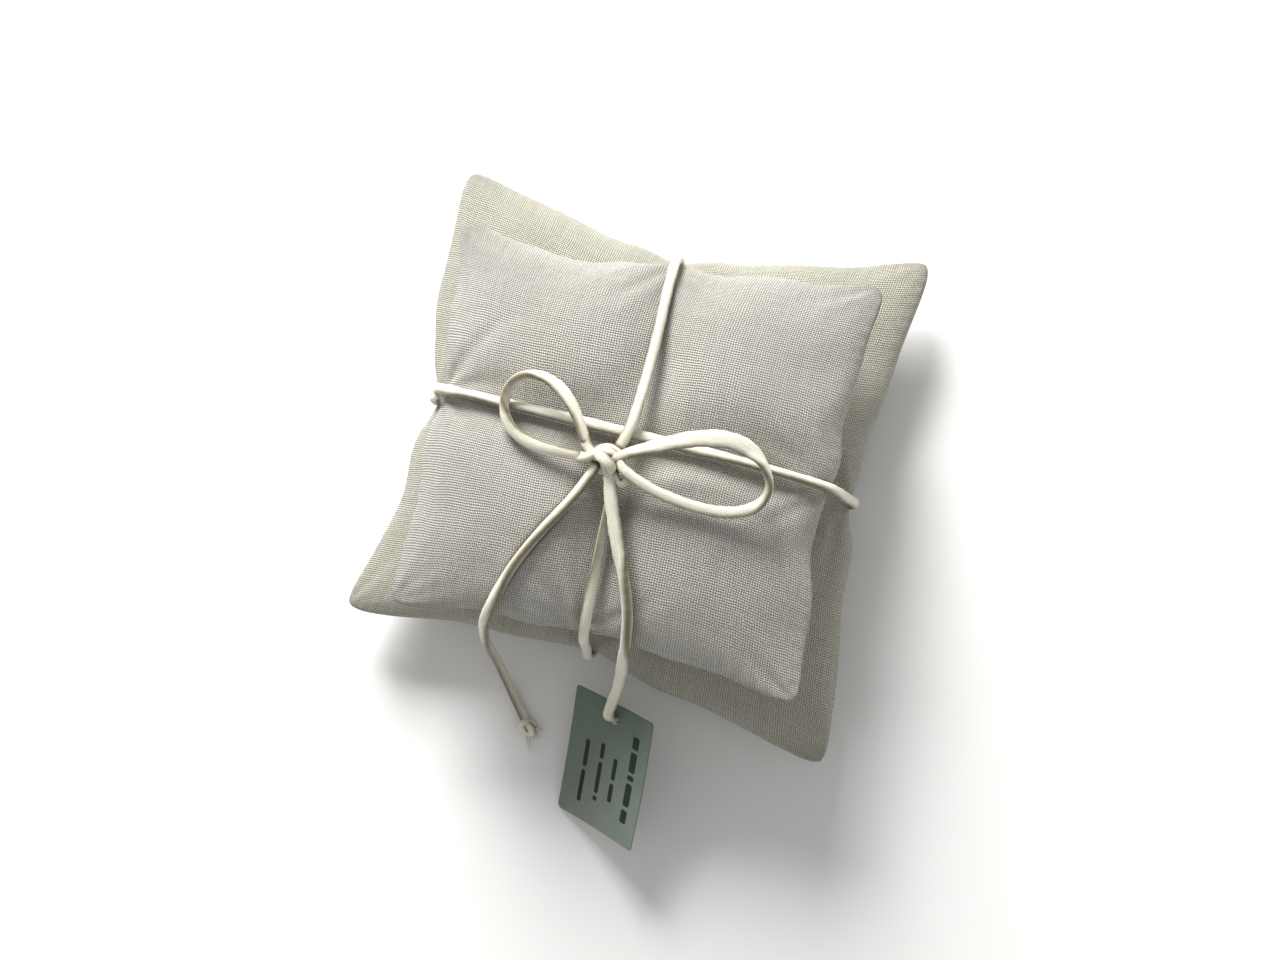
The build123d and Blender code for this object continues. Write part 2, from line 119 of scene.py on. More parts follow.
class Paint:
    """A material's node tree, with short ways to add and join nodes."""

    def __init__(self, name):
        self.material = bpy.data.materials.new(name)
        self.material.use_nodes = True
        self.tree = self.material.node_tree
        self.shader = self.tree.nodes["Principled BSDF"]

    def node(self, kind, **inputs):
        made = self.tree.nodes.new(kind)
        for key, value in inputs.items():
            self.feed(made, key, value)
        return made

    def feed(self, made, key, value):
        socket = made.inputs[key.replace("_", " ")] if isinstance(key, str) else made.inputs[key]
        if isinstance(value, bpy.types.NodeSocket):
            self.tree.links.new(value, socket)
        else:
            socket.default_value = value

    def math(self, operation, first, second=None):
        made = self.tree.nodes.new("ShaderNodeMath")
        made.operation = operation
        for k, value in enumerate((first, second)):
            if value is not None:
                self.feed(made, k, value)
        return made.outputs[0]

    def plus(self, first, second):
        return self.math("ADD", first, second)

    def times(self, first, second):
        return self.math("MULTIPLY", first, second)

    def mix(self, share, first, second):
        made = self.tree.nodes.new("ShaderNodeMix")
        made.data_type = "RGBA"
        for k, value in ((0, share), (6, first), (7, second)):
            self.feed(made, k, value)
        return made.outputs[2]

    def noise(self, vector, scale, detail=2.0, rough=0.5):
        made = self.node("ShaderNodeTexNoise", Vector=vector, Scale=scale, Detail=detail, Roughness=rough)
        return made.outputs["Fac"]

    def stretched(self, vector, factors):
        made = self.tree.nodes.new("ShaderNodeMapping")
        self.feed(made, "Vector", vector)
        made.inputs["Scale"].default_value = factors
        return made.outputs[0]

    def ramp(self, value, low, high, to_low=0.0, to_high=1.0):
        made = self.tree.nodes.new("ShaderNodeMapRange")
        for k, number in enumerate((value, low, high, to_low, to_high)):
            self.feed(made, k, number)
        return made.outputs[0]

    def set(self, **inputs):
        for key, value in inputs.items():
            self.feed(self.shader, key, value)
        return self.material


def linen(name, light, shade):
    """Plain-woven linen: threads over and under each other, with slubs and a soft shift of tone, painted
    light and shade on its weave, and painted shade in its hollows.
    """
    p = Paint(name)
    uv = p.tree.nodes.new("ShaderNodeUVMap").outputs[0]
    wander = p.noise(uv, 0.09, 2.0)
    parts = p.tree.nodes.new("ShaderNodeSeparateXYZ")
    p.feed(parts, 0, uv)
    bend = p.times(p.math("SUBTRACT", wander, 0.5), WEAVE_WANDER)
    across = p.math("SINE", p.times(p.plus(parts.outputs[0], bend), math.pi / WEAVE_PITCH))
    along = p.math("SINE", p.times(p.math("SUBTRACT", parts.outputs[1], bend), math.pi / WEAVE_PITCH))
    over = p.times(p.times(across, along), THREAD_OVER)
    warp = p.plus(p.times(p.math("ABSOLUTE", across), THREAD_ROUND), over)
    weft = p.math("SUBTRACT", p.times(p.math("ABSOLUTE", along), THREAD_ROUND), over)
    weave = p.math("MAXIMUM", warp, weft)
    slub_warp = p.noise(p.stretched(uv, (1.15, 0.05, 1)), 1.0, 3.0)
    slub_weft = p.noise(p.stretched(uv, (0.05, 1.15, 1)), 1.0, 3.0)
    slub = p.plus(slub_warp, slub_weft)
    fuzz = p.noise(uv, 6.0, 3.0, 0.7)
    height = p.plus(weave, p.plus(p.times(slub, SLUB_HEIGHT), p.times(fuzz, FUZZ_HEIGHT)))
    bump = p.node("ShaderNodeBump", Strength=1.0, Distance=0.00055, Height=height)
    # Painted light and shade of the weave: thread crests and slubs take the light colour, the gaps between
    # threads the shade colour.
    tone = p.ramp(p.plus(weave, p.times(p.math("SUBTRACT", slub, 1.0), SLUB_HEIGHT)), 0.35, 1.0)
    colour = p.mix(tone, shade, light)
    patch = p.ramp(p.noise(uv, 0.028, 3.0), 0.3, 0.7)
    colour = p.mix(patch, colour, p.mix(0.06, colour, YELLOWED_LINEN))
    # Painted shade: where ambient occlusion finds the cloth hidden, in creases, beside the cords and between
    # the pillows, the linen darkens to a deep olive brown.
    occlusion_shade = p.node("ShaderNodeAmbientOcclusion", Distance=0.011)
    colour = p.mix(p.ramp(occlusion_shade.outputs["AO"], 0.2, 0.72, 0.62, 0.0), colour, SHADED_LINEN)
    return p.set(
        Base_Color=colour, Roughness=0.86, Normal=bump.outputs[0], Sheen_Weight=0.25, Sheen_Roughness=0.45,
        Specular_IOR_Level=0.2,
    )


def satin(name, light, shade):
    """Satin cord: fine braided threads on a slant, a soft sheen, painted light and shade along its streaks
    and braid, and painted shade on its edges and in its crevices.
    """
    p = Paint(name)
    uv = p.tree.nodes.new("ShaderNodeUVMap").outputs[0]
    parts = p.tree.nodes.new("ShaderNodeSeparateXYZ")
    p.feed(parts, 0, uv)
    around = parts.outputs[0]
    wound, climbed = p.times(around, BRAID_STRANDS * math.tau), p.times(parts.outputs[1], BRAID_SLANT)
    left = p.math("SINE", p.plus(wound, climbed))
    right = p.math("SINE", p.math("SUBTRACT", wound, climbed))
    threads = p.math("MAXIMUM", left, right)
    streak = p.noise(p.stretched(uv, (24, 0.22, 1)), 1.0, 3.0)
    height = p.plus(p.times(threads, 0.5), p.times(streak, 1.2))
    bump = p.node("ShaderNodeBump", Strength=0.32, Distance=0.00012, Height=height)
    # Painted light and shade: raised streaks along the cord take the light colour, low ones the shade colour.
    colour = p.mix(p.ramp(streak, 0.3, 0.7), shade, light)
    # Painted shade in the gaps between the braid's strands.
    colour = p.mix(p.times(p.ramp(threads, -0.6, 0.6, 1.0, 0.0), 0.2), colour, BRAID_GAP_SHADE)
    # Painted shade: the cord darkens towards both edges of its flat section, most on one, with uneven streaks
    # along it.
    wear_and_edge_shade = p.plus(around, p.times(p.math("SUBTRACT", streak, 0.5), 0.16))
    colour = p.mix(p.ramp(wear_and_edge_shade, 0.06, 0.4, 0.93, 0.0), colour, EDGE_SHADE)
    colour = p.mix(p.ramp(wear_and_edge_shade, 0.84, 1.0, 0.0, 0.5), colour, FAR_EDGE_SHADE)
    # Painted shade in crevices: where ambient occlusion finds the cord hidden, in the knots and against the
    # cloth, it darkens to a deep olive.
    occlusion_shade = p.node("ShaderNodeAmbientOcclusion", Distance=0.0035)
    colour = p.mix(p.ramp(occlusion_shade.outputs["AO"], 0.28, 0.78, 0.85, 0.0), colour, CREVICE_SHADE)
    return p.set(
        Base_Color=colour, Roughness=0.36, Normal=bump.outputs[0], Sheen_Weight=0.2, Sheen_Roughness=0.35,
        Specular_IOR_Level=0.55, Anisotropic=0.6,
    )


def sewing_thread(name):
    p = Paint(name)
    place = p.tree.nodes.new("ShaderNodeTexCoord").outputs["Object"]
    ply = p.noise(place, 2600, 2.0)
    bump = p.node("ShaderNodeBump", Strength=0.4, Distance=0.00006, Height=ply)
    colour = p.mix(ply, THREAD_DARK, THREAD_LIGHT)
    return p.set(Base_Color=colour, Roughness=0.55, Normal=bump.outputs[0], Sheen_Weight=0.3)


def card(name):
    """Matte green card with paper grain, darker towards its top end."""
    p = Paint(name)
    uv = p.tree.nodes.new("ShaderNodeUVMap").outputs[0]
    parts = p.tree.nodes.new("ShaderNodeSeparateXYZ")
    p.feed(parts, 0, uv)
    grain = p.noise(uv, 3.2, 5.0, 0.65)
    cloudy = p.noise(uv, 0.16, 3.0)
    bump = p.node("ShaderNodeBump", Strength=0.25, Distance=0.00008, Height=grain)
    colour = p.mix(p.ramp(parts.outputs[1], -22, 22), CARD_LOW, CARD_TOP)
    colour = p.mix(p.ramp(grain, 0.3, 0.7, 0.0, 0.3), colour, CARD_GRAIN)
    colour = p.mix(p.ramp(cloudy, 0.3, 0.75, 0.0, 0.25), colour, CARD_CLOUD)
    return p.set(Base_Color=colour, Roughness=0.82, Normal=bump.outputs[0], Specular_IOR_Level=0.25)


def ink(name):
    p = Paint(name)
    place = p.tree.nodes.new("ShaderNodeTexCoord").outputs["Object"]
    wear_and_edge_shade = p.noise(place, 1800, 4.0, 0.6)
    colour = p.mix(p.ramp(wear_and_edge_shade, 0.35, 0.75), INK_DARK, INK_WORN)
    return p.set(Base_Color=colour, Roughness=0.6, Specular_IOR_Level=0.25)


# ---------------------------------------------------------------- meshes
def add_mesh(name, points_mm, faces, material, uv=None, smooth=True):
    """A mesh object from points in millimetres. uv holds one pair for each point."""
    mesh = bpy.data.meshes.new(name)
    mesh.from_pydata((np.asarray(points_mm) * MM).tolist(), [], faces)
    mesh.polygons.foreach_set("use_smooth", [smooth] * len(mesh.polygons))
    if uv is not None:
        layer = mesh.uv_layers.new(name="cloth")
        corner = np.empty(len(mesh.loops), int)
        mesh.loops.foreach_get("vertex_index", corner)
        layer.data.foreach_set("uv", np.asarray(uv)[corner].ravel())
    mesh.materials.append(material)
    mesh.update()
    obj = bpy.data.objects.new(name, mesh)
    bpy.context.scene.collection.objects.link(obj)
    return obj


def along_route(route, resolution=24):
    """The points of a NURBS spline that follows a route, in millimetres."""
    curve = bpy.data.curves.new("route", "CURVE")
    curve.dimensions = "3D"
    curve.resolution_u = resolution
    spline = curve.splines.new("NURBS")
    spline.points.add(len(route) - 1)
    for point, place in zip(spline.points, route):
        point.co = (place[0] * MM, place[1] * MM, place[2] * MM, 1)
    spline.order_u = 3
    spline.use_endpoint_u = True
    obj = bpy.data.objects.new("route", curve)
    bpy.context.scene.collection.objects.link(obj)
    bpy.context.view_layer.update()
    mesh = bpy.data.meshes.new_from_object(obj.evaluated_get(bpy.context.evaluated_depsgraph_get()))
    points = np.array([v.co for v in mesh.vertices]) / MM
    bpy.data.objects.remove(obj)
    bpy.data.meshes.remove(mesh)
    bpy.data.curves.remove(curve)
    return points


def unit(v):
    return v / np.maximum(np.linalg.norm(v, axis=-1, keepdims=True), 1e-9)


def distances_along(points):
    return np.concatenate([[0], np.cumsum(np.linalg.norm(np.diff(points, axis=0), axis=1))])


def eased(pairs, t):
    """Values read off (place, value) pairs with soft joins between them."""
    places, values = np.array(pairs, float).T
    k = np.clip(np.searchsorted(places, t, side="right") - 1, 0, len(places) - 2)
    s = np.clip((t - places[k]) / (places[k + 1] - places[k]), 0, 1)
    s = s * s * (3 - 2 * s)
    return values[k] * (1 - s) + values[k + 1] * s


def carried_frames(points, normal):
    """Tangents and normals along a path, from a first normal that is carried along without twisting."""
    tangents = unit(np.gradient(points, axis=0))
    normals = np.empty_like(points)
    n = np.array(normal, float)
    for k, t in enumerate(tangents):
        n = n - t * np.dot(n, t)
        n = n / np.linalg.norm(n)
        normals[k] = n
    return tangents, normals


AROUND = 28  # points round a cord
SECTION_POWER = 2 / 2.25  # below 1 it squares the oval off a little
CAP_LENGTH = 1.1  # how much of each end is rounded off


def tube(points, width, thick, turn, normal=(0, 0, 1)):
    """Points, faces and uv of a cord with an oval section.

    Width, thick and turn are pairs of a share of its length and a value.
    """
    s = distances_along(points)
    share = s / s[-1]
    tangents, normals = carried_frames(points, normal)
    sides = np.cross(tangents, normals)
    angle = np.radians(eased(turn, share))[:, None]
    wide = np.cos(angle) * sides + np.sin(angle) * normals
    deep = np.cross(tangents, wide)
    w, d = eased(width, share) / 2, eased(thick, share) / 2
    w = w * (1 + 0.03 * np.sin(s * 0.83) + 0.02 * np.sin(s * 2.1 + 1))  # slightly uneven, as a real cord is
    ends = np.minimum(s, s[-1] - s)
    cap = np.sqrt(np.clip(1 - (1 - np.clip(ends / CAP_LENGTH, 0, 1)) ** 2, 0.02, 1))
    w, d = w * cap, d * cap
    a = np.linspace(0, 2 * np.pi, AROUND, endpoint=False)
    ca = np.sign(np.cos(a)) * np.abs(np.cos(a)) ** SECTION_POWER
    sa = np.sign(np.sin(a)) * np.abs(np.sin(a)) ** SECTION_POWER
    rings = (
        points[:, None]
        + wide[:, None] * (ca[None, :, None] * w[:, None, None])
        + deep[:, None] * (sa[None, :, None] * d[:, None, None])
    )
    n = len(points)
    verts = np.vstack([rings.reshape(-1, 3), points[:1], points[-1:]])
    faces = []
    for i in range(n - 1):
        for j in range(AROUND):
            k = (j + 1) % AROUND
            faces.append((i * AROUND + j, i * AROUND + k, (i + 1) * AROUND + k, (i + 1) * AROUND + j))
    first, last = n * AROUND, n * AROUND + 1
    for j in range(AROUND):
        k = (j + 1) % AROUND
        faces.append((first, k, j))
        faces.append((last, (n - 1) * AROUND + j, (n - 1) * AROUND + k))
    around = np.abs(a / np.pi - 1)
    uv = np.stack([np.tile(around, n), np.repeat(s, AROUND)], 1)
    uv = np.vstack([uv, [[0.5, 0]], [[0.5, s[-1]]]])
    return verts, faces, uv


def joined(tubes):
    """Several tubes as one mesh."""
    verts, faces, uv, base = [], [], [], 0
    for v, f, t in tubes:
        verts.append(v)
        uv.append(t)
        faces += [tuple(k + base for k in face) for face in f]
        base += len(v)
    return np.vstack(verts), faces, np.vstack(uv)


# ---------------------------------------------------------------- routes of the cord, as in the CAD source
BAND_CROSSWISE = [
    (-0.5, -0.2, 1.6), (-24, -0.3, 1.6), (-44, -0.5, 1.6), (-56.6, -0.6, 2.3), (-63.6, -0.6, 5.6),
    (-66.6, -0.7, 11), (-66.4, -0.8, 17.5), (-61.6, -1.0, 27), (-58.2, -1.2, 36), (-56.9, -1.4, 43.5),
    (-54.6, -1.6, 48.6), (-48.2, -1.9, 52.2), (-38.5, -2.1, 55.0), (-25, -2.3, 57.0), (-8, -2.4, 57.9),
    (14, -2.4, 57.8), (30, -2.4, 56.9), (44, -2.5, 54.8), (54.2, -2.6, 52.5), (61.8, -2.7, 48.5),
    (64.4, -2.7, 42.5), (66.0, -2.3, 33), (68.0, -1.6, 22), (68.2, -1.1, 14), (66.2, -0.8, 7.2),
    (60.0, -0.6, 2.9), (46.5, -0.6, 1.6), (25, -0.3, 1.6), (0.1, -0.2, 1.6),
]
BAND_LENGTHWISE = [
    (4.2, -7.8, 61.9), (5.8, -3.2, 61.6), (6.2, 4.8, 60.8), (6.0, 15.5, 58.8), (5.4, 27, 56.9),
    (4.4, 38.2, 54.6), (3.6, 46.8, 51.4), (3.0, 52.0, 46.6), (2.1, 53.2, 40), (-0.4, 55.6, 29),
    (-2.5, 59.0, 20.5), (-3.0, 60.4, 13.5), (-2.8, 58.8, 7.6), (-2.4, 53.2, 3.4), (-2.0, 44, 1.7),
    (-1.4, 22, 1.8), (-0.8, 7.5, 5.2), (-0.1, -7.5, 5.2), (0.5, -22, 1.8), (1.1, -38, 1.6),
    (1.5, -47.5, 1.6), (1.9, -57.2, 3.6), (2.3, -63.2, 8.2), (2.6, -65.2, 14), (3.0, -64.9, 21),
    (4.4, -62.9, 31), (5.3, -61.8, 39.5), (5.7, -60.8, 46.0), (5.9, -55.6, 50.7), (5.8, -46.5, 53.8),
    (5.4, -35, 56.6), (5.1, -24, 58.3), (4.6, -16.6, 58.7), (3.4, -11.5, 60.0),
]
LOOP_LEFT = [
    (-4.5, -8.9, 63.2), (-8.6, -1.6, 64.2), (-15.8, 5.0, 64.6), (-24.2, 7.3, 63.0), (-30.8, 3.6, 60.6),
    (-31.4, -3.8, 59.4), (-27.4, -9.6, 59.8), (-20.2, -12.4, 61.0), (-11.4, -12.8, 62.2), (-4.6, -12.6, 62.6),
]
LOOP_RIGHT = [
    (7.4, -8.9, 64.3), (15.4, -4.9, 65.8), (25.6, -0.4, 67.0), (35.3, 1.4, 66.4), (43.2, -1.2, 64.4),
    (47.6, -7.6, 61.6), (45.8, -13.6, 60.2), (39.2, -17.4, 60.2), (30.2, -18.4, 61.2), (19.4, -17.4, 62.6),
    (11.8, -15.4, 63.6), (7.2, -13.2, 64.0),
]
TAIL_LEFT = [
    (-0.2, -13.0, 61.8), (-2.2, -18.6, 61.2), (-5.4, -25.2, 60.2), (-11.4, -34.6, 58.3), (-17.4, -45.8, 55.0),
    (-20.6, -55.2, 52.4), (-23.2, -62.6, 47.4), (-24.9, -66.4, 37), (-25.9, -69.2, 27), (-26.0, -71.6, 17),
    (-24.8, -75.2, 8.6), (-21.8, -80.2, 3.2), (-17.6, -85.6, 1.6), (-12.9, -90.6, 1.9),
]
TAIL_TAG = [
    (3.6, -13.4, 63.0), (4.9, -18.4, 62.5), (6.6, -23.0, 61.8), (9.3, -29.8, 60.6), (12.3, -37.0, 58.8),
    (15.6, -44.4, 56.6), (17.8, -52.2, 53.4), (18.2, -60.2, 48.0), (17.6, -66.0, 39.5), (16.4, -71.0, 30.8),
]
TAG_HOLE = np.array((15.42, -80.59, 20.25))
TAG_UP = unit(np.array((-0.515, -0.305, 0.801)))
TAG_X = unit(np.array((0.857, -0.144, 0.495)) - np.dot((0.857, -0.144, 0.495), TAG_UP) * TAG_UP)
TAG_Y = np.cross(TAG_UP, TAG_X)


def on_tag(local):
    """Points given across the card, up the card and off it, as places in the frame."""
    local = np.atleast_2d(np.asarray(local, float))
    return TAG_HOLE + local[:, :1] * TAG_X + local[:, 1:2] * TAG_Y + local[:, 2:3] * TAG_UP


TAIL_TAG += [tuple(p) for p in on_tag([(2.0, 6.5, 3.6), (0.4, 1.7, 3.0), (0, 0, 0.6), (0, 0, -4.2)])]

# ---------------------------------------------------------------- pillows
STATIONS = np.array((-1.0, -0.55, -0.2, 0.0, 0.2, 0.55, 1.0))
LOWER = {
    "near": [
        (-75.7, -70.1), (-42, -66.8), (-13, -64.8), (2.2, -63.5),
        (14, -67.4), (41, -71.4), (78.7, -78.7),
    ],
    "far": [
        (-75.4, 73.1), (-42, 66.2), (-15, 60.4), (-2.8, 58.7),
        (9, 61.3), (38, 66.2), (72.5, 75.9),
    ],
    "left": [
        (-75.7, -70.1), (-68.4, -38), (-67.2, -13), (-65.2, -0.4),
        (-70.2, 13), (-75, 38), (-75.4, 73.1),
    ],
    "right": [
        (78.7, -78.7), (73.4, -40), (71.2, -14), (66.6, -0.7),
        (68.1, 13), (69.6, 40), (72.5, 75.9),
    ],
    "seam_z": 15.0, "rise": 19.0, "drop": 18.0, "top_flat": 31.0, "bottom_flat": 0.2, "half": (75.0, 71.0),
}
UPPER = {
    "near": [
        (-53, -64.8), (-30, -61.4), (-8, -60.3), (3.2, -58.8),
        (14, -59.2), (38, -59.8), (67.9, -62.9),
    ],
    "far": [
        (-62.4, 49.0), (-33, 46.2), (-10, 47.6), (2.8, 50.1),
        (15, 50.6), (37, 53.6), (62.1, 57.4),
    ],
    "left": [
        (-53, -64.8), (-53.4, -35), (-55.4, -12), (-54.5, -1.0),
        (-56.8, 10), (-60.6, 32), (-62.4, 49.0),
    ],
    "right": [
        (67.9, -62.9), (64.2, -34), (61.2, -14), (62.0, -2.8),
        (62.5, 9), (61.4, 31), (62.1, 57.4),
    ],
    "seam_z": 43.0, "rise": 15.5, "drop": 13.5, "top_flat": None, "bottom_flat": 31.3, "half": (61.0, 57.0),
}
NET = 161  # points along each side of a skin
FULLNESS_POWER = 0.45  # how fast a dome rises from its seam
MIDDLE = np.array((3.0, -4.0))  # the folds of both pillows point here
# The bands on top: where they run, how the lengthwise one bows, and the grooves they press
BAND_X, BAND_BOW, BAND_Y = 6.3, 0.00115, -2.4
GROOVE_WIDTH, TOP_GROOVE = 8.0, 3.0
PUFF_WIDTH, PUFF, PUFF_SHARE = 17.0, 5.6, 0.4  # how the filling swells between the grooves
# Corner tips: how far they are rounded off and drawn out, and how sharply
TIP_ROUND, TIP_ROUND_POWER, TIP_DRAW, TIP_DRAW_POWER = 5.5, 18, 3.5, 5
WAVES = ((0.55, 11, 1), (0.4, 19, 2))  # the outline's waves: height, count and share of the seed
CREASES_A_SIDE, CREASE_FAN, CREASE_HEIGHT = 9, 1.35, 0.95
TIP_FOLD_ANGLES, TIP_FOLD_HEIGHT = (-0.42, -0.1, 0.3), 0.7
ANGLE_SPREAD, FOLD_ROOT = 0.12, 4.0
SWELL_COUNT, SWELL_HEIGHT, SWELL_SHORTEST, SWELL_LONGEST = 14, 0.4, 16, 46
CORD_REACH, CORD_GAP, CORD_SLOPE = 1.6, 0.12, 0.62  # how a cord presses the cloth below and beside it
GATHER_HEIGHT, GATHER_PITCH, GATHER_DEPTH = 0.16, 3.7, 2.2
SEAM_DEPTH, SEAM_WIDTH = 0.55, 0.5


def side_points(points, t):
    """Points on a smooth curve through a side's seven points."""
    p = np.array(points, float)
    slope = np.empty_like(p)
    slope[1:-1] = (p[2:] - p[:-2]) / (STATIONS[2:] - STATIONS[:-2])[:, None]
    slope[0] = (p[1] - p[0]) / (STATIONS[1] - STATIONS[0])
    slope[-1] = (p[-1] - p[-2]) / (STATIONS[-1] - STATIONS[-2])
    k = np.clip(np.searchsorted(STATIONS, t, side="right") - 1, 0, len(STATIONS) - 2)
    width = (STATIONS[k + 1] - STATIONS[k])[..., None]
    s = (t - STATIONS[k])[..., None] / width
    return (
        (2 * s**3 - 3 * s**2 + 1) * p[k] + (s**3 - 2 * s**2 + s) * width * slope[k]
        + (3 * s**2 - 2 * s**3) * p[k + 1] + (s**3 - s**2) * width * slope[k + 1]
    )


def corners(pillow):
    """The corner tips: near left, near right, far left, far right."""
    return [np.array(pillow[side][end], float) for side in ("near", "far") for end in (0, -1)]


def plan_points(pillow, u, v):
    """Maps the square u, v = -1..1 onto a pillow's plan, blending its four sides."""
    near_left, near_right, far_left, far_right = corners(pillow)
    p, q = ((u + 1) / 2)[..., None], ((v + 1) / 2)[..., None]
    return (
        (1 - q) * side_points(pillow["near"], u) + q * side_points(pillow["far"], u)
        + (1 - p) * side_points(pillow["left"], v) + p * side_points(pillow["right"], v)
        - (1 - p) * (1 - q) * near_left - p * (1 - q) * near_right
        - (1 - p) * q * far_left - p * q * far_right
    )


def soft_min(a, b, k):
    m = np.minimum(a, b)
    return m - k * np.log(np.exp(-(a - m) / k) + np.exp(-(b - m) / k))


def soft_max(a, b, k):
    return -soft_min(-a, -b, k)


def smooth_step(x):
    x = np.clip(x, 0, 1)
    return x * x * (3 - 2 * x)


def seen_from(origin, angle, x, y):
    """How far each point lies along and across a line that leaves an origin at an angle to the inward way."""
    inward = unit(MIDDLE - origin)
    c, s = math.cos(angle), math.sin(angle)
    way = np.array((c * inward[0] - s * inward[1], s * inward[0] + c * inward[1]))
    along = (x - origin[0]) * way[0] + (y - origin[1]) * way[1]
    across = (x - origin[0]) * way[1] - (y - origin[1]) * way[0]
    return along, across


def fold(along, across, width, length, height):
    """A ridge, or a valley, that rises from its root and fades along its length."""
    section = height * np.exp(-((across / width) ** 2))
    return section * smooth_step(along / FOLD_ROOT) * np.exp(-((along / length) ** 2))


def creases(pillow, x, y, rng):
    """Short folds that fan inwards from the four waists, where the cord gathers the cloth."""
    total = np.zeros_like(x)
    for side in ("near", "far", "left", "right"):
        origin = np.array(pillow[side][3], float)
        for k in range(CREASES_A_SIDE):
            angle = (2 * (k + 0.5) / CREASES_A_SIDE - 1) * CREASE_FAN
            angle = angle + rng.uniform(-ANGLE_SPREAD, ANGLE_SPREAD)
            length = rng.uniform(9, 30)
            height = rng.choice((-1.0, 1.0)) * rng.uniform(0.35, 1.0) * CREASE_HEIGHT
            along, across = seen_from(origin, angle, x, y)
            along = along - rng.uniform(-1, 3)
            across = across + rng.uniform(-0.012, 0.012) * along**2
            width = 1.0 + 0.075 * np.clip(along, 0, None)
            total += fold(along, across, width, length, height)
    return total


def tip_folds(pillow, x, y, rng):
    """Small folds that run in from the corner tips."""
    total = np.zeros_like(x)
    for origin in corners(pillow):
        for angle in TIP_FOLD_ANGLES:
            angle = angle + rng.uniform(-ANGLE_SPREAD, ANGLE_SPREAD)
            along, across = seen_from(origin, angle, x, y)
            along = along - 2
            width = 0.9 + 0.08 * np.clip(along, 0, None)
            length, height = rng.uniform(12, 24), rng.uniform(-1.0, 0.7) * TIP_FOLD_HEIGHT
            total += fold(along, across, width, length, height)
    return total


def swells(x, y, rng):
    """Broad uneven swells of the filling."""
    total = np.zeros_like(x)
    for _ in range(SWELL_COUNT):
        angle, wave = rng.uniform(0, math.pi), rng.uniform(SWELL_SHORTEST, SWELL_LONGEST)
        phase = (x * math.cos(angle) + y * math.sin(angle)) * math.tau / wave + rng.uniform(0, 6.3)
        total += (wave / SWELL_LONGEST) * np.sin(phase)
    return total / math.sqrt(SWELL_COUNT)


def pressed(points, cords, over):
    """Heights pushed below the cords that lie on a skin, or above those that run under it."""
    flat = points.reshape(-1, 3)
    z = flat[:, 2].copy()
    sign = 1 if over else -1
    limit = np.full(len(z), 1e6)
    for c in cords:
        for part in np.array_split(np.arange(len(flat)), 24):
            d = np.hypot(flat[part, None, 0] - c[None, :, 0], flat[part, None, 1] - c[None, :, 1])
            reach = sign * c[None, :, 2] - np.sqrt(np.clip(CORD_REACH**2 - d**2, 0, None)) - CORD_GAP
            reach = reach + CORD_SLOPE * np.clip(d - CORD_REACH, 0, None)
            limit[part] = np.minimum(limit[part], reach.min(1))
    z = sign * soft_min(sign * z, limit, 0.3)
    return z.reshape(points.shape[:2])


def shaped_plan(pillow, u, v, seed):
    """A pillow's plan with rounded corner tips and a slightly wavy outline."""
    plan = plan_points(pillow, u, v)
    inward, corner = unit(MIDDLE - plan), np.abs(u * v)[..., None]
    plan = plan + inward * (TIP_ROUND * corner**TIP_ROUND_POWER - TIP_DRAW * corner**TIP_DRAW_POWER)
    border = np.maximum(np.abs(u), np.abs(v))[..., None] ** 9
    turn = np.arctan2(v, u)[..., None]
    waves = [height * np.sin(count * turn + share * seed) for height, count, share in WAVES]
    return plan + inward * border * (waves[0] + waves[1])


def dome(pillow, u, v, x, y, upward):
    """The height of a skin before its folds: domed, grooved under the bands, flat where it rests."""
    full = (np.clip(1 - u * u, 0, 1) * np.clip(1 - v * v, 0, 1)) ** FULLNESS_POWER
    height = pillow["rise"] if upward else pillow["drop"]
    if upward and pillow is UPPER:
        off_lengthwise, off_crosswise = x - BAND_X + BAND_BOW * y * y, y - BAND_Y
        lengthwise = np.exp(-((off_lengthwise / GROOVE_WIDTH) ** 2))
        crosswise = np.exp(-((off_crosswise / GROOVE_WIDTH) ** 2))
        height = height - TOP_GROOVE * (lengthwise + crosswise - lengthwise * crosswise)
        apart = 1 - np.exp(-((off_lengthwise / PUFF_WIDTH) ** 2))
        apart = apart * (1 - np.exp(-((off_crosswise / PUFF_WIDTH) ** 2)))
        height = height + PUFF * apart
        full = full ** (1 + PUFF_SHARE * apart)
    z = pillow["seam_z"] + (1 if upward else -1) * full * height
    if upward and pillow["top_flat"]:
        z = soft_min(z, np.full_like(z, pillow["top_flat"]), 0.7)
    if not upward:
        z = soft_max(z, np.full_like(z, pillow["bottom_flat"]), 0.5)
    return z


def cloth_relief(pillow, u, v, x, y, z, rim, upward, seed):
    """How far the cloth stands off its dome: folds, swells, gathers along the seam, and the seam itself."""
    rng = np.random.default_rng(seed)
    folds = creases(pillow, x, y, rng) + tip_folds(pillow, x, y, rng)
    folds += SWELL_HEIGHT * swells(x, y, rng)
    half_x, half_y = pillow["half"]
    by_left_or_right = (1 - np.abs(u)) * half_x < (1 - np.abs(v)) * half_y
    place = np.where(by_left_or_right, v * half_y, u * half_x)
    gathers = np.sin(place * math.tau / GATHER_PITCH + 1.4 * np.sin(place * 0.21) + seed)
    gathers = GATHER_HEIGHT * gathers * np.exp(-rim / GATHER_DEPTH)
    seam = -SEAM_DEPTH * np.exp(-((rim / SEAM_WIDTH) ** 2))
    inside = 1 - np.exp(-rim / 1.2)
    resting = 0 if upward else smooth_step((pillow["seam_z"] - 2 - z) / 8)
    relief = folds * inside * (1 - 0.75 * resting) + gathers * inside + seam
    if upward and pillow["top_flat"]:
        relief = np.where(z > pillow["top_flat"] - 1.2, np.minimum(relief, 0), relief)
    return relief


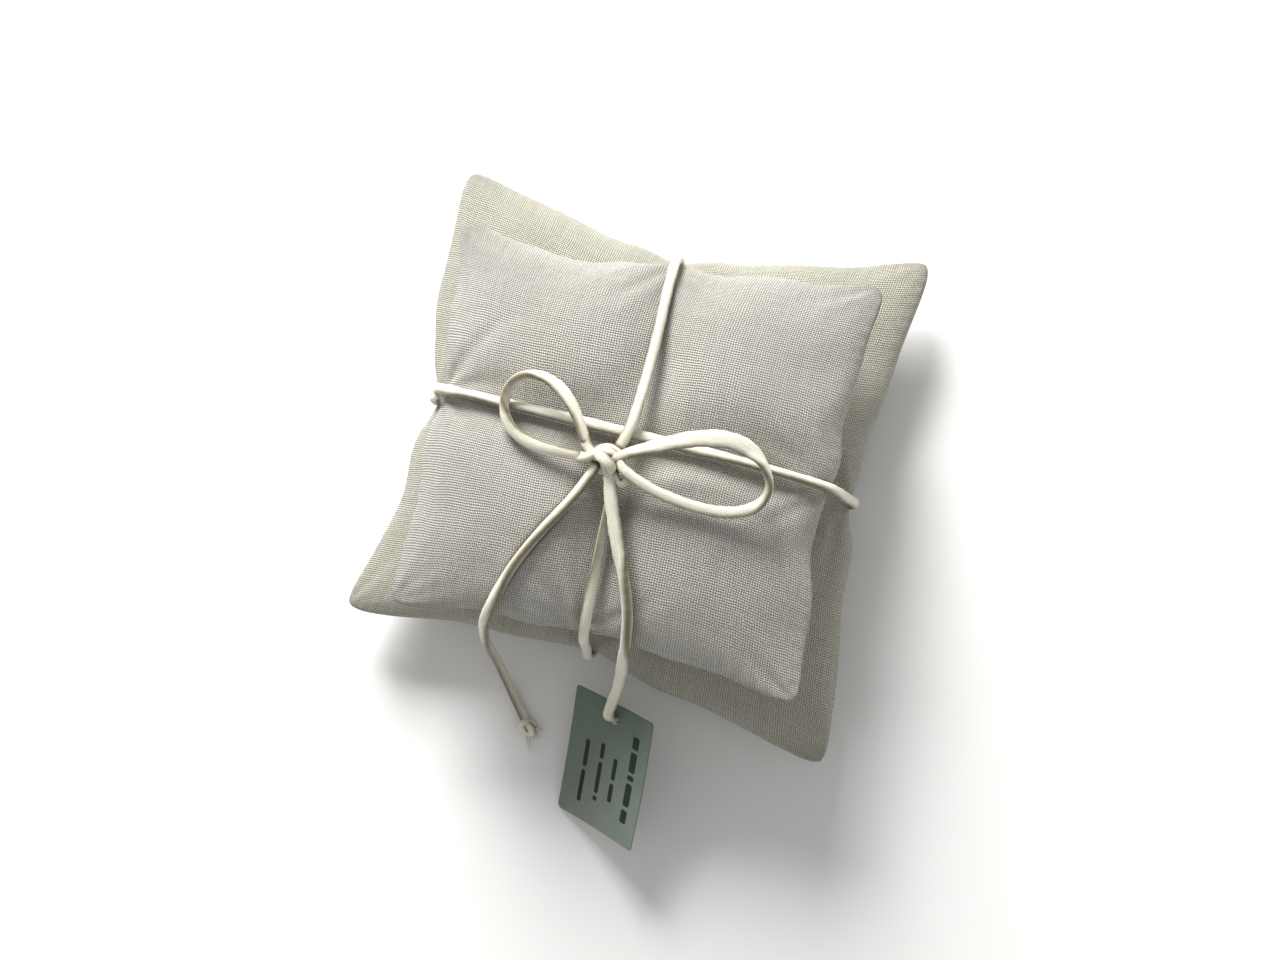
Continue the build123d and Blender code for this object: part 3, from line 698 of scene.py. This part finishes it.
def skin(pillow, upward, cords, seed, outline_seed):
    """One skin of a pillow as a grid of points, with its folds and the dents of the cords on it."""
    a = np.linspace(-1, 1, NET)
    spread = 0.88 * np.sin(np.pi / 2 * a) + 0.12 * a
    u, v = np.meshgrid(spread, spread, indexing="xy")
    plan = shaped_plan(pillow, u, v, outline_seed)
    x, y = plan[..., 0], plan[..., 1]
    z = dome(pillow, u, v, x, y, upward)
    points = np.dstack([x, y, z])
    rim = np.minimum((1 - np.abs(u)) * pillow["half"][0], (1 - np.abs(v)) * pillow["half"][1])
    relief = cloth_relief(pillow, u, v, x, y, z, rim, upward, seed)
    normal = unit(np.cross(np.gradient(points, axis=1), np.gradient(points, axis=0))) * (1 if upward else -1)
    edge = rim < 1e-6
    out = unit(plan - plan_points(pillow, u * 0.97, v * 0.97))
    normal[edge] = np.dstack([out, np.zeros_like(x)])[edge]
    points = points + normal * relief[..., None]
    if cords:
        points[..., 2] = np.where(edge, points[..., 2], pressed(points, cords, upward))
    return points, u, v


def flat_lengths(pillow, share, axis):
    """Distance along the cloth from the middle to each share of the half width."""
    s = np.linspace(0, 1, 400)
    s = np.sin(np.pi / 2 * s)
    run = np.hypot(np.diff(s * pillow["half"][axis]), np.diff(pillow["rise"] * (1 - s * s) ** FULLNESS_POWER))
    return np.sign(share) * np.interp(np.abs(share), s, np.concatenate([[0], np.cumsum(run)]))


def pillow_mesh(name, pillow, top_cords, bottom_cords, material, seed):
    """A closed pillow of two skins that share their seam."""
    top, u, v = skin(pillow, True, top_cords, seed, seed)
    bottom, _, _ = skin(pillow, False, bottom_cords, seed + 1, seed)
    index_top = np.arange(NET * NET).reshape(NET, NET)
    inner = np.ones((NET, NET), bool)
    inner[0], inner[-1], inner[:, 0], inner[:, -1] = False, False, False, False
    index_bottom = index_top.copy()
    index_bottom[inner] = NET * NET + np.arange(inner.sum())
    verts = np.vstack([top.reshape(-1, 3), bottom[inner]])
    flat = np.dstack([flat_lengths(pillow, u, 0), flat_lengths(pillow, v, 1)])
    uv = np.vstack([flat.reshape(-1, 2), flat[inner]])

    def quads(index, flip):
        q = np.stack([index[:-1, :-1], index[:-1, 1:], index[1:, 1:], index[1:, :-1]], -1).reshape(-1, 4)
        return q[:, ::-1] if flip else q

    faces = np.vstack([quads(index_top, False), quads(index_bottom, True)]).tolist()
    obj = add_mesh(name, verts, faces, material, uv)
    finer = obj.modifiers.new("finer", "SUBSURF")
    finer.levels = finer.render_levels = 1
    return obj


STITCH_COUNT, STITCH_START, STITCH_SPACING, STITCH_SLANT = 12, -0.62, 0.032, 0.008
STITCH_D = 0.4
# A stitch's route: which of its three places on the seam, how far inside the outline, how far below the seam
STITCH_ROUTE = ((0, 1.6, 4.2), (0, 0.8, 3.7), (1, 0.3, 2.6), (2, 0.1, 1.7), (2, 0.9, 1.3))


def closing_stitches(name, pillow, material):
    """Slanted hand stitches just below the far seam, where the filling went in."""
    tubes = []
    for k in range(STITCH_COUNT):
        t = STITCH_START + STITCH_SPACING * k
        ends = side_points(pillow["far"], np.array((t - STITCH_SLANT, t, t + STITCH_SLANT)))
        seam = pillow["seam_z"]
        route = [(ends[n, 0], ends[n, 1] - inside, seam - below) for n, inside, below in STITCH_ROUTE]
        across = [(0, STITCH_D), (1, STITCH_D)]
        tubes.append(tube(along_route(route, 5), across, across, [(0, 0), (1, 0)], (0, 1, 0.2)))
    verts, faces, uv = joined(tubes)
    return add_mesh(name, verts, faces, material, uv)


# ---------------------------------------------------------------- knots
# Strands of the bow's knot, bottom to top
KNOT_STRANDS = [
    (3.2, [
        (-2.2, -9.8, 60.8), (-2.6, -12.6, 60.8), (0.4, -14.6, 61.0), (4.4, -14.0, 61.2), (6.2, -11.4, 61.6),
        (4.4, -8.8, 61.8), (0.8, -8.5, 61.8), (-1.2, -10.2, 62.4), (0.6, -12.0, 63.0), (3.8, -12.0, 63.2),
        (4.6, -10.2, 62.6),
    ]),
    (2.9, [
        (-6.3, -5.7, 63.6), (-5.3, -7.4, 63.4), (-4.4, -9.0, 63.2), (-3.0, -10.3, 63.1), (-1.4, -11.4, 63.0),
        (0.6, -12.0, 62.4),
    ]),
    (3.0, [
        (-8.0, -12.8, 62.35), (-6.2, -12.75, 62.45), (-4.6, -12.6, 62.7), (-2.8, -12.1, 63.5),
        (-1.3, -10.9, 64.2),
        (0.6, -10.0, 64.6), (3.0, -9.6, 64.4), (4.8, -10.2, 63.4),
    ]),
    (2.9, [
        (10.5, -7.35, 64.9), (8.9, -8.1, 64.6), (7.3, -9.0, 64.3), (5.4, -10.4, 64.1), (3.6, -11.8, 63.6),
        (2.2, -12.6, 62.8),
    ]),
    (2.8, [
        (10.3, -14.7, 63.7), (8.8, -14.0, 63.85), (7.2, -13.1, 64.0), (6.2, -11.8, 63.9), (5.4, -10.3, 63.0),
        (4.2, -9.6, 62.0),
    ]),
    (2.5, [
        (4.8, -13.4, 62.8), (5.5, -15.8, 62.6), (6.7, -17.2, 61.8), (8.1, -16.9, 61.4), (8.6, -15.1, 61.8),
        (7.8, -13.2, 62.6), (6.6, -11.8, 62.8),
    ]),
    (3.3, [
        (-1.0, -10.6, 63.6), (0.8, -11.3, 65.8), (3.0, -12.6, 66.4), (4.6, -13.8, 65.2), (4.6, -14.8, 62.8),
    ]),
    (3.4, [
        (1.6, -11.6, 64.0), (2.6, -12.8, 64.2), (3.6, -14.4, 63.4), (4.4, -16.4, 62.8),
    ]),
]
SMALL_KNOT = [
    (-1.7, 1.8, -0.5), (-0.3, 1.0, 0.8), (1.6, 0.1, 1.0), (2.0, -1.6, -0.2), (0.3, -1.9, -0.8),
    (-1.5, -0.9, 0.4), (-1.6, 0.8, 1.0), (0.2, 1.7, 0.1), (1.6, 0.9, -1.0), (0.9, -0.8, -1.2),
    (-0.2, -2.1, -1.1),
]


STRAND_TAPER, STRAND_FLATNESS = 0.62, 0.78
END_KNOT, END_KNOT_STRAND = np.array((-12.6, -91.2, 2.5)), 2.5
STOPPER_OFFSET, STOPPER_STRAND = -3.4, 2.4
YARN_COUNT, YARN_FIRST, YARN_STEP, YARN_ROOT, LONG_YARN = 7, -86, 19, 1.2, 6.4
YARN_D = [(0, 0.42), (1, 0.3)]


def strands(name, routes, material):
    """A knot as one mesh: a strand along each route, with tapered ends that hide in the next run."""
    tubes = []
    for k, (width, route) in enumerate(routes):
        points, narrow = along_route(route, 16), STRAND_TAPER * width
        wide = [(0, narrow), (0.22, width), (0.78, width), (1, narrow)]
        thick = [(share, STRAND_FLATNESS * w) for share, w in wide]
        tubes.append(tube(points, wide, thick, [(0, 15 * (k % 3) - 20), (1, 30)]))
    verts, faces, uv = joined(tubes)
    return add_mesh(name, verts, faces, material, uv)


def frayed_end(name, centre, material):
    """Loose yarns that fan out of the end knot on to the table."""
    rng = np.random.default_rng(5)
    tubes = []
    for k in range(YARN_COUNT):
        heading = math.radians(YARN_FIRST + YARN_STEP * k + rng.uniform(-6, 6))
        reach, curl = (LONG_YARN if k == 1 else rng.uniform(1.6, 4.0)), rng.uniform(-0.6, 0.6)
        lifted, end = 0.1 + rng.uniform(-0.6, 0.5), -1.9 + rng.uniform(0, 0.8)
        route = []
        for share, high in ((0.15, -0.2), (0.4, lifted), (0.7, -1.2), (1.0, end)):
            turn = heading + curl * share**2
            route.append((
                centre[0] + math.cos(turn) * reach * share + YARN_ROOT * math.cos(heading),
                centre[1] + math.sin(turn) * reach * share + YARN_ROOT * math.sin(heading),
                max(centre[2] + high, 0.3),
            ))
        points = along_route(route, 10)
        tubes.append(tube(points, YARN_D, YARN_D, [(0, 0), (1, 0)]))
    verts, faces, uv = joined(tubes)
    return add_mesh(name, verts, faces, material, uv)


# ---------------------------------------------------------------- tag
TAG_W, TAG_H, TAG_HOLE_Y, TAG_THICK, HOLE_R = 32.0, 40.0, 15.5, 0.5, 2.2
TAG_TOP, TAG_BOTTOM = TAG_H / 2 - TAG_HOLE_Y, -TAG_H / 2 - TAG_HOLE_Y
CORNER_R, WORN_CORNER_R, CORNER_STEPS, EDGE_STEPS, CARD_RINGS = 0.7, 1.5, 8, 24, 26
# Rows of the print: place across the card, half the bar's width, and each bar's start and end along the card
PRINT_ROWS = [
    (10.5, 1.3, [(-13.5, -9.5), (-8.3, -1.2), (-0.2, 1.4), (2.4, 8.6), (9.6, 13.5)]),
    (3.6, 0.8, [(-10.0, -4.2), (-3.0, 3.8)]),
    (-2.2, 0.8, [(-12.0, -10.6), (-9.6, 0.4), (1.6, 6.4)]),
    (-8.4, 0.8, [(-14.8, -4.6), (-3.4, 5.2)]),
]


def card_bend(x, y):
    """How far the card has warped off its plane: it cups a little and one low corner lifts."""
    cup = 0.5 * (x / (TAG_W / 2)) ** 2 + 0.35 * ((y + TAG_HOLE_Y) / (TAG_H / 2)) ** 2
    return cup + 0.5 * smooth_step((x - y - 30) / 22)


def card_points(xy, off):
    """Places in the frame of points on the warped card, some way off its face."""
    x, y = xy[:, 0], xy[:, 1]
    return on_tag(np.stack([x, y, card_bend(x, y) + off - 0.35], 1))


def card_mesh(name, material):
    """The card with its punched hole: rings from the hole out to its rounded outline."""
    tips = [
        (TAG_W / 2, TAG_BOTTOM, CORNER_R), (TAG_W / 2, TAG_TOP, CORNER_R),
        (-TAG_W / 2, TAG_TOP, CORNER_R), (-TAG_W / 2, TAG_BOTTOM, WORN_CORNER_R),
    ]
    outline = []
    for k, (cx, cy, r) in enumerate(tips):
        sx, sy = np.sign(cx), 1 if cy > 0 else -1
        for n in range(CORNER_STEPS + 1):
            a = math.radians(90 * (k - 1) + 90 * n / CORNER_STEPS)
            outline.append((cx - sx * r + r * math.cos(a), cy - sy * r + r * math.sin(a)))
        nx, ny, nr = tips[(k + 1) % 4]
        end = np.array((nx, ny)) - np.array(((0, 1), (-1, 0), (0, -1), (1, 0))[k]) * nr
        last = np.array(outline[-1])
        for n in range(1, EDGE_STEPS):
            outline.append(tuple(last + (end - last) * n / EDGE_STEPS))
    outline = np.array(outline)
    count, rings = len(outline), CARD_RINGS
    hole = unit(outline) * HOLE_R
    grid = np.array([hole + (outline - hole) * (k / (rings - 1)) ** 1.15 for k in range(rings)])
    flat = grid.reshape(-1, 2)
    verts = np.vstack([card_points(flat, 0.0), card_points(flat, -TAG_THICK)])
    faces, n = [], rings * count
    for i in range(rings - 1):
        for j in range(count):
            k = (j + 1) % count
            quad = (i * count + j, (i + 1) * count + j, (i + 1) * count + k, i * count + k)
            faces.append(quad)
            faces.append(tuple(q + n for q in reversed(quad)))
    for i, way in ((0, 1), (rings - 1, -1)):
        for j in range(count):
            k = (j + 1) % count
            quad = (i * count + j, i * count + k, i * count + k + n, i * count + j + n)
            faces.append(quad if way > 0 else tuple(reversed(quad)))
    obj = add_mesh(name, verts, faces, material, np.vstack([flat, flat]))
    edges = obj.modifiers.new("edges", "EDGE_SPLIT")
    edges.split_angle = math.radians(50)
    return obj


BAR_STEPS, BAR_ACROSS, BAR_END, BAR_NARROWEST = 15, 5, 0.35, 0.35
INK_TOP, INK_BOTTOM = 0.035, -0.02  # off the card's face


def print_mesh(name, material):
    """Generic bars in place of the card's wording, each a thin layer with rounded ends."""
    verts, faces, base = [], [], 0
    grid = np.arange(BAR_STEPS * BAR_ACROSS).reshape(BAR_STEPS, BAR_ACROSS)
    rim = np.concatenate([grid[0], grid[1:, -1], grid[-1, -2::-1], grid[-2:0:-1, 0]]).tolist()
    n = grid.size
    for x, half, words in PRINT_ROWS:
        for start, end in words:
            y = np.linspace(start, end, BAR_STEPS) - TAG_HOLE_Y
            ends = np.minimum(y - y[0], y[-1] - y)
            soft = np.sqrt(np.clip(1 - (1 - np.clip(ends / BAR_END, 0, 1)) ** 2, BAR_NARROWEST, 1))
            xs = x + np.linspace(-1, 1, BAR_ACROSS)[None, :] * (half * soft)[:, None]
            xy = np.stack([xs, np.repeat(y[:, None], BAR_ACROSS, 1)], -1).reshape(-1, 2)
            verts += [card_points(xy, off) for off in (INK_TOP, INK_BOTTOM)]
            for i in range(BAR_STEPS - 1):
                for j in range(BAR_ACROSS - 1):
                    a, b = base + i * BAR_ACROSS + j, base + (i + 1) * BAR_ACROSS + j
                    quad = (a, a + 1, b + 1, b)
                    faces += [quad, tuple(q + n for q in reversed(quad))]
            for p, q in zip(rim, rim[1:] + rim[:1]):
                faces.append((base + q, base + p, base + p + n, base + q + n))
            base += 2 * n
    return add_mesh(name, np.vstack(verts), faces, material, smooth=False)


# ---------------------------------------------------------------- the object
def cord_piece(name, route, width, thick, turn, normal=(0, 0, 1)):
    """A run of the satin cord, and the points read from its spline."""
    points = along_route(route)
    verts, faces, uv = tube(points, width, thick, turn, normal)
    return add_mesh(name, verts, faces, satin_cord, uv), points


satin_cord = satin("satin_cord", (0.90, 0.88, 0.78, 1), (0.76, 0.72, 0.58, 1))
# The knot's satin is the cord's satin painted darker and warmer, as painted shade in the tight knot.
shaded_knot_satin = satin("shaded_knot_satin", (0.88, 0.855, 0.74, 1), (0.70, 0.65, 0.49, 1))
linen_lower = linen("linen_lower", (0.88, 0.875, 0.79, 1), (0.40, 0.385, 0.29, 1))
linen_upper = linen("linen_upper", (0.87, 0.86, 0.81, 1), (0.41, 0.395, 0.345, 1))
thread_paint = sewing_thread("sewing_thread")
card_paint, ink_paint = card("green_card"), ink("tag_ink")

# Each run's width, thickness and turn in degrees are given at shares of its length. A turn of -90 puts the
# edge with the most painted shade on top.
ROUND, THIN = [(0, 3.05), (1, 3.05)], [(0, 2.3), (1, 2.3)]
band_crosswise, crosswise_points = cord_piece(
    "cord_band_crosswise_satin", BAND_CROSSWISE, ROUND, THIN,
    [(0, 180), (0.33, 180), (0.36, 228), (0.4, 205), (0.5, 182), (0.56, 200), (0.6, 235), (0.65, 235),
     (0.72, 180), (1, 180)], (0, 0, -1),
)
band_lengthwise, lengthwise_points = cord_piece(
    "cord_band_lengthwise_satin", BAND_LENGTHWISE, ROUND, THIN,
    [(0, -25), (0.04, 10), (0.12, -12), (0.17, 0), (0.84, 0), (0.87, -8), (0.925, -75), (0.97, -80),
     (1, -60)],
)
loop_left, loop_left_points = cord_piece(
    "bow_loop_left_satin", LOOP_LEFT, [(0, 3.0), (0.2, 3.6), (0.5, 3.3), (0.8, 3.5), (1, 3.0)],
    [(0, 2.5), (0.25, 2.1), (0.5, 2.7), (1, 2.4)],
    [(0, -50), (0.12, -45), (0.22, -10), (0.32, -40), (0.42, -75), (0.54, -80), (0.62, -20), (0.8, 0),
     (1, -20)],
)
loop_right, loop_right_points = cord_piece(
    "bow_loop_right_satin", LOOP_RIGHT,
    [(0, 3.2), (0.12, 4.2), (0.28, 4.9), (0.4, 4.4), (0.5, 3.3), (1, 3.1)],
    [(0, 2.4), (0.15, 1.7), (0.35, 1.6), (0.5, 2.3), (1, 2.4)],
    [(0, 205), (0.12, 188), (0.36, 178), (0.44, 235), (0.52, 268), (0.6, 325), (0.8, 338), (1, 350)],
)
tail_left, tail_left_points = cord_piece(
    "cord_tail_left_satin", TAIL_LEFT, [(0, 3.1), (0.5, 3.2), (1, 2.8)], [(0, 2.5), (0.4, 2.8), (1, 2.5)],
    [(0, -30), (0.12, -45), (0.3, -72), (0.46, -10), (0.56, -20), (0.72, -62), (1, -76)],
)
tail_tag, tail_tag_points = cord_piece(
    "cord_tail_tag_satin", TAIL_TAG,
    [(0, 3.4), (0.1, 4.0), (0.24, 4.0), (0.38, 3.5), (0.5, 3.5), (0.64, 3.9), (0.8, 3.6), (1, 3.1)],
    [(0, 2.4), (0.2, 2.2), (0.38, 3.1), (0.5, 3.1), (0.64, 2.3), (1, 2.4)],
    [(0, 10), (0.1, -8), (0.22, -10), (0.37, -72), (0.49, -78), (0.68, -8), (0.8, 0), (1, 0)],
)

# Every other point of each run is enough to press the cloth
LOWER_SEED, UPPER_SEED, CLEAR_OF_SEAM, UNDERSIDE_TOP = 11, 23, 3, 9
on_top = [p[::2] for p in (crosswise_points, lengthwise_points, loop_left_points, loop_right_points,
                           tail_left_points, tail_tag_points)]
above_seam = [p[p[:, 2] > UPPER["seam_z"] + CLEAR_OF_SEAM] for p in on_top]
under = [p[p[:, 2] < UNDERSIDE_TOP] for p in (crosswise_points[::2], lengthwise_points[::2])]
lower_pillow = pillow_mesh("lower_pillow", LOWER, [], under, linen_lower, LOWER_SEED)
upper_pillow = pillow_mesh("upper_pillow", UPPER, above_seam, [], linen_upper, UPPER_SEED)
lower_stitches = closing_stitches("lower_closing_stitch_loops", LOWER, thread_paint)
upper_stitches = closing_stitches("upper_closing_stitch_loops", UPPER, thread_paint)

bow_knot = strands("bow_knot_strands", KNOT_STRANDS, shaded_knot_satin)
end_knot_route = [tuple(END_KNOT + p) for p in SMALL_KNOT]
end_knot = strands("tail_end_knot_strands", [(END_KNOT_STRAND, end_knot_route)], satin_cord)
frayed = frayed_end("tail_frayed_yarns", END_KNOT, satin_cord)
stopper_route = [tuple(p) for p in on_tag(np.array(SMALL_KNOT) + (0, 0, STOPPER_OFFSET))]
stopper = strands("tag_stopper_knot_strands", [(STOPPER_STRAND, stopper_route)], satin_cord)
tag_card, tag_print = card_mesh("tag_green_card", card_paint), print_mesh("tag_print_bars", ink_paint)

ROOT, PILLOW_PIECES = "pillows", ("cover_bottom_panel", "cover_top_panel", "filling")
for obj, body, slot, replaced in (
    (lower_pillow, ROOT, "linen_lower", [f"lower_{piece}" for piece in PILLOW_PIECES]),
    (upper_pillow, ROOT, "linen_upper", [f"upper_{piece}" for piece in PILLOW_PIECES]),
    (lower_stitches, ROOT, "sewing_thread", ("lower_closing_stitches",)),
    (upper_stitches, ROOT, "sewing_thread", ("upper_closing_stitches",)),
    (band_crosswise, ROOT, "satin_cord", ("cord_band_crosswise",)),
    (band_lengthwise, ROOT, "satin_cord", ("cord_band_lengthwise",)),
    (bow_knot, ROOT, "satin_cord", ("bow_knot",)),
    (loop_left, "loop_left", "satin_cord", ("bow_loop_left",)),
    (loop_right, "loop_right", "satin_cord", ("bow_loop_right",)),
    (tail_left, ROOT, "satin_cord", ("cord_tail_left",)),
    (end_knot, ROOT, "satin_cord", ("tail_end_knot",)),
    (frayed, ROOT, "satin_cord", ("tail_frayed_threads",)),
    (tail_tag, ROOT, "satin_cord", ("cord_tail_tag",)),
    (stopper, ROOT, "satin_cord", ("tag_stopper_knot",)),
    (tag_card, "tag", "green_card", ("tag_card",)),
    (tag_print, "tag", "tag_ink", ("tag_print",)),
):
    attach(obj, body)
    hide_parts(*replaced)
for name in ("lower_seam_threads", "upper_seam_threads"):
    nodes[name].data.materials.clear()
    nodes[name].data.materials.append(thread_paint)

add_studio()
add_camera()
